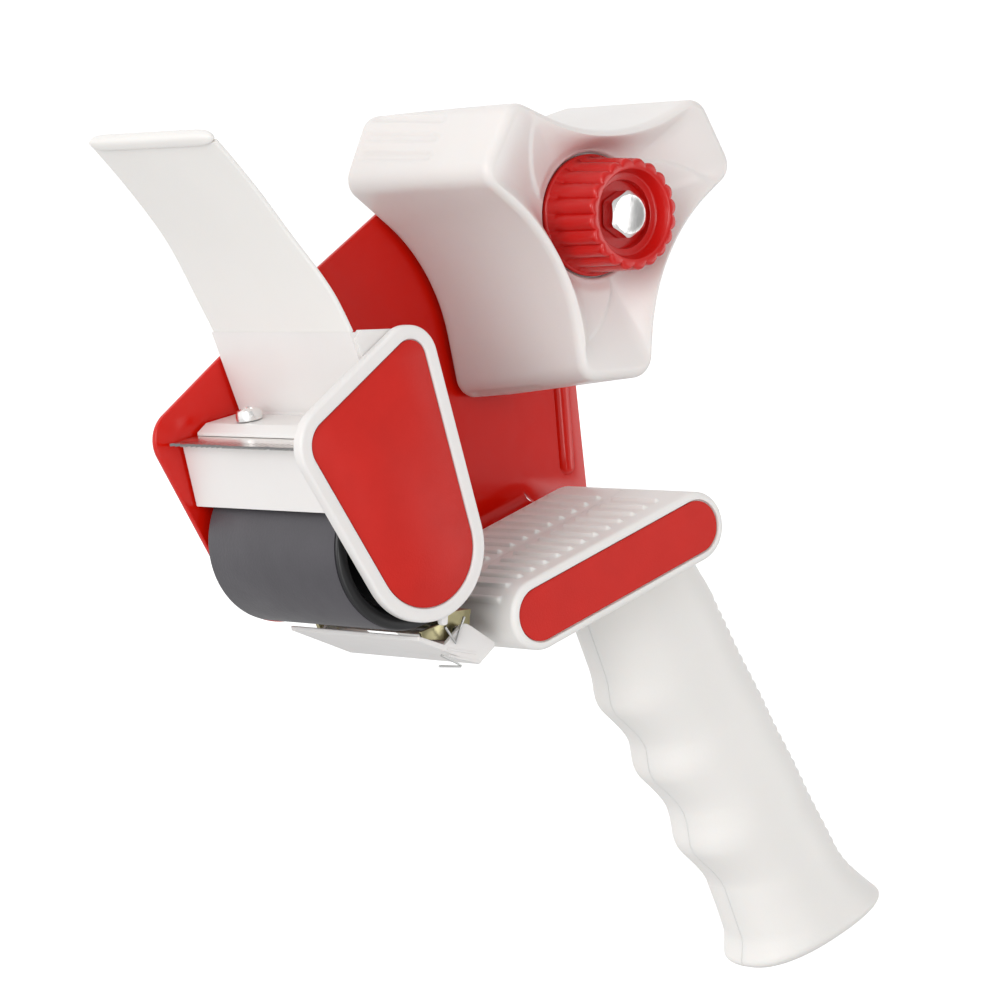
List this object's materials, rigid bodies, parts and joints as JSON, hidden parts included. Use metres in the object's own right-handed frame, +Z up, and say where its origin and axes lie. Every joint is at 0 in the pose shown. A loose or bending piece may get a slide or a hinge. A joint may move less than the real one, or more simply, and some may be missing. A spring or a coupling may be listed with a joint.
{
  "type": "tape dispenser",
  "caption": "Hand-held packing-tape dispenser: sheet-steel side plate, three-lobed tape hub with tension knob, rubber roller, wiper flap, serrated blade and moulded grip.",
  "frame": {"origin": "middle of the grip, between its two halves", "axes": "+Z up, roller and blade towards -X, grip down and towards +X, plate on +Y and open side towards -Y; the hub and roller turn about Y"},
  "size_m": [0.2045, 0.0662, 0.2071],
  "materials": {
    "red_enamel": "glossy red enamel on sheet steel",
    "red_label": "satin printed film, plain red",
    "red_plastic": "glossy moulded red plastic",
    "white_plastic": "satin moulded white plastic, slightly milky",
    "white_film": "thin flexible white sheet, satin",
    "dark_rubber": "satin dark grey rubber",
    "black_plastic": "moulded black plastic",
    "steel": "zinc-plated steel, satin",
    "blade_steel": "ground spring steel",
    "bright_steel": "bright nickel-plated steel",
    "plated_steel": "yellow-passivated steel"
  },
  "bodies": {
    "frame": {"frame_plate": "red_enamel", "front_housing": "white_plastic", "side_cap": "white_plastic", "cap_label": "red_label", "blade_clamp": "white_plastic", "cutting_blade": "blade_steel", "clamp_screw_far": "bright_steel", "clamp_screw_near": "bright_steel", "housing_screw_upper": "bright_steel", "housing_screw_lower": "bright_steel", "roller_axle": "steel", "roller_nut": "steel", "axle_washer": "steel", "axle_nut": "steel", "handle_near_shell": "white_plastic", "handle_far_shell": "white_plastic", "pad_label": "red_label", "handle_screw_upper": "bright_steel", "handle_screw_lower": "bright_steel", "flange_screw_front": "bright_steel", "flange_screw_rear": "bright_steel", "retainer_pin": "steel", "retainer_spring": "steel", "retainer_bracket": "plated_steel", "bracket_rivet": "steel"},
    "hub": {"hub_shell": "white_plastic", "hub_bush": "black_plastic", "tension_spring": "steel"},
    "roller": {"roller_sleeve": "dark_rubber", "roller_core": "black_plastic"},
    "carriage": {"pressure_washer": "steel"},
    "knob": {"tension_knob": "red_plastic", "axle_bolt": "bright_steel"},
    "wiper": {"wiper_flap": "white_film"},
    "retainer": {"retainer_flap": "white_plastic"}
  },
  "joints": [
    {"name": "hub_spin", "type": "hinge", "parent": "frame", "child": "hub", "pos_m": [-0.0346, 0.0335, 0.1334], "axis": [0, 1, 0], "continuous": true},
    {"name": "roller_spin", "type": "hinge", "parent": "frame", "child": "roller", "pos_m": [-0.0967, 0.0335, 0.0597], "axis": [0, 1, 0], "continuous": true},
    {"name": "knob_travel", "type": "slide", "parent": "frame", "child": "carriage", "axis": [0, 1, 0], "range_m": [-0.001, 0.0005], "deforming": ["tension_spring"]},
    {"name": "knob_turn", "type": "hinge", "parent": "carriage", "child": "knob", "pos_m": [-0.0346, 0.0335, 0.1334], "axis": [0, 1, 0], "range_deg": [-360, 180]},
    {"name": "flap_flex", "type": "hinge", "parent": "frame", "child": "wiper", "pos_m": [-0.1117, 0.0062, 0.1075], "axis": [0, 1, 0], "range_deg": [-6, 20], "stiffness_Nm_per_rad": 0.2},
    {"name": "retainer_hinge", "type": "hinge", "parent": "frame", "child": "retainer", "pos_m": [-0.0799, 0.0062, 0.0395], "axis": [0, -1, 0], "range_deg": [0, 25], "stiffness_Nm_per_rad": 0.05, "springref_deg": -20.05, "deforming": ["retainer_spring"]}
  ],
  "couplings": [
    {"joint": "knob_turn", "follows": "knob_travel", "rad_per_m": 6283.2}
  ]
}
